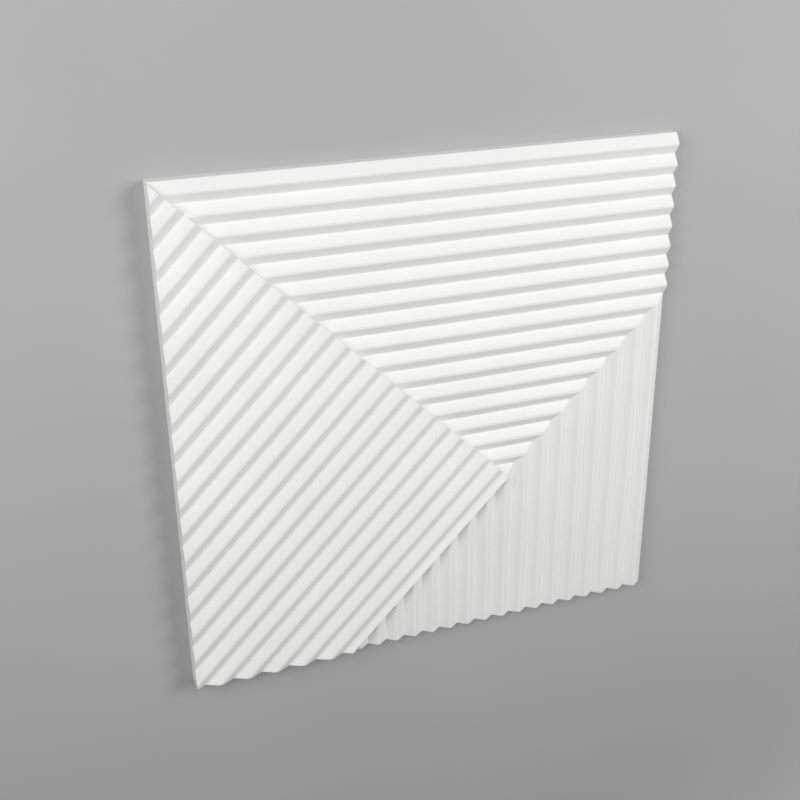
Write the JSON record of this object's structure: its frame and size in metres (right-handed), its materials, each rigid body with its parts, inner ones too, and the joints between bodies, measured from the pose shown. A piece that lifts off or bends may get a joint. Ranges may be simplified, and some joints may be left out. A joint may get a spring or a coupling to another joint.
{
  "type": "3d wall panel tile",
  "caption": "Square cast plaster wall tile: mitred fields of round-crested ribs beside a raised field of slanting ribs. Its flat back is glued to a wall, edge to edge with like tiles.",
  "frame": {"origin": "centre of the flat back face, on which the panel lies", "axes": "+Z from the back out through the ribs, +X towards the edge that the upright ribs run beside, +Y towards the edge that the level ribs run beside"},
  "size_m": [0.5, 0.5, 0.024],
  "materials": {
    "cast_plaster": "matte white cast gypsum plaster"
  },
  "bodies": {
    "root": {"ribbed_wall_panel": "cast_plaster"}
  },
  "joints": []
}
